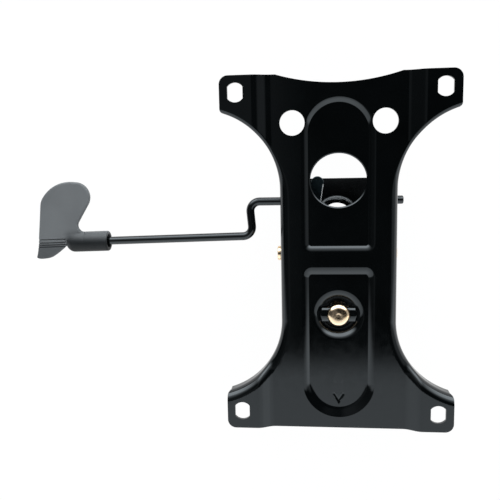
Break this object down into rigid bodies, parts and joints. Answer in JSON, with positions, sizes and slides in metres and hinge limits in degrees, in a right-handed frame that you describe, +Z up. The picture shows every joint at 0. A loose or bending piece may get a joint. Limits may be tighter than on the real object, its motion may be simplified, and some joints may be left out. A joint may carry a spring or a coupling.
{
  "type": "office chair tilt mechanism",
  "caption": "Pressed black seat plate that rocks on a housing with a gas lift socket, with a tension spring and knob and one lever for height and tilt lock.",
  "frame": {"origin": "centre of the gas lift socket's mouth", "axes": "+X to the sitter's left, +Y to the chair's rear, +Z up"},
  "size_m": [0.363, 0.2882, 0.1151],
  "materials": {
    "black_coat": "satin black powder coat",
    "zinc_steel": "zinc plated",
    "gold_zinc": "yellow zinc plated",
    "nylon": "plain moulded",
    "dark_plastic": "fine grain moulded",
    "grey_plastic": "fine grain moulded",
    "rubber": "matt",
    "spring_steel": "oiled black"
  },
  "bodies": {
    "housing": {"lower_housing": "black_coat", "gas_lift_socket": "black_coat", "spring_cup": "black_coat", "spring_upper_seat": "nylon", "tilt_spring": "spring_steel", "pivot_bush_left": "nylon", "pivot_bush_right": "nylon", "axle_spacer": "zinc_steel", "stop_left": "rubber", "stop_right": "rubber", "lever_slot_liner": "nylon"},
    "seat": {"seat_plate": "black_coat", "pivot_axle": "gold_zinc", "axle_clips": "zinc_steel"},
    "bolt": {"rocker_saddle": "black_coat", "tension_bolt": "gold_zinc"},
    "washers": {"thrust_washer": "zinc_steel", "friction_ring": "nylon"},
    "knob": {"tension_knob": "dark_plastic", "knob_nut": "zinc_steel", "knob_cap": "dark_plastic"},
    "lever_bush": {"lever_ball_bush": "nylon"},
    "lever": {"lever_rod": "black_coat", "lock_tongue": "black_coat", "lever_handle": "grey_plastic"}
  },
  "joints": [
    {"name": "tilt", "type": "hinge", "parent": "housing", "child": "seat", "pos_m": [0, -0.0255, 0.082], "axis": [-1, 0, 0], "range_deg": [0, 15], "stiffness_Nm_per_rad": 40, "springref_deg": -17.19, "deforming": ["tilt_spring"]},
    {"name": "bolt_rock", "type": "hinge", "parent": "seat", "child": "bolt", "pos_m": [0, -0.0745, 0.0975], "axis": [1, 0, 0], "range_deg": [0, 11.5], "deforming": ["tilt_spring"]},
    {"name": "tension_travel", "type": "slide", "parent": "bolt", "child": "washers", "axis": [0, 0, 1], "range_m": [0, 0.006], "deforming": ["tilt_spring"]},
    {"name": "tension_turn", "type": "hinge", "parent": "washers", "child": "knob", "pos_m": [0, -0.0745, 0], "axis": [0, 0, 1], "range_deg": [0, 1440], "deforming": ["tilt_spring"]},
    {"name": "lever_lift", "type": "hinge", "parent": "housing", "child": "lever_bush", "pos_m": [-0.0408, 0.0169, 0.07], "axis": [0, 1, 0], "range_deg": [0, 6.5], "stiffness_Nm_per_rad": 1, "springref_deg": -5.73},
    {"name": "lever_pull", "type": "slide", "parent": "lever_bush", "child": "lever", "axis": [-1, 0, 0], "range_m": [0, 0.01]}
  ],
  "couplings": [
    {"joint": "bolt_rock", "follows": "tilt", "ratio": 0.747},
    {"joint": "tension_travel", "follows": "tension_turn", "m_per_rad": 0.00023873}
  ]
}
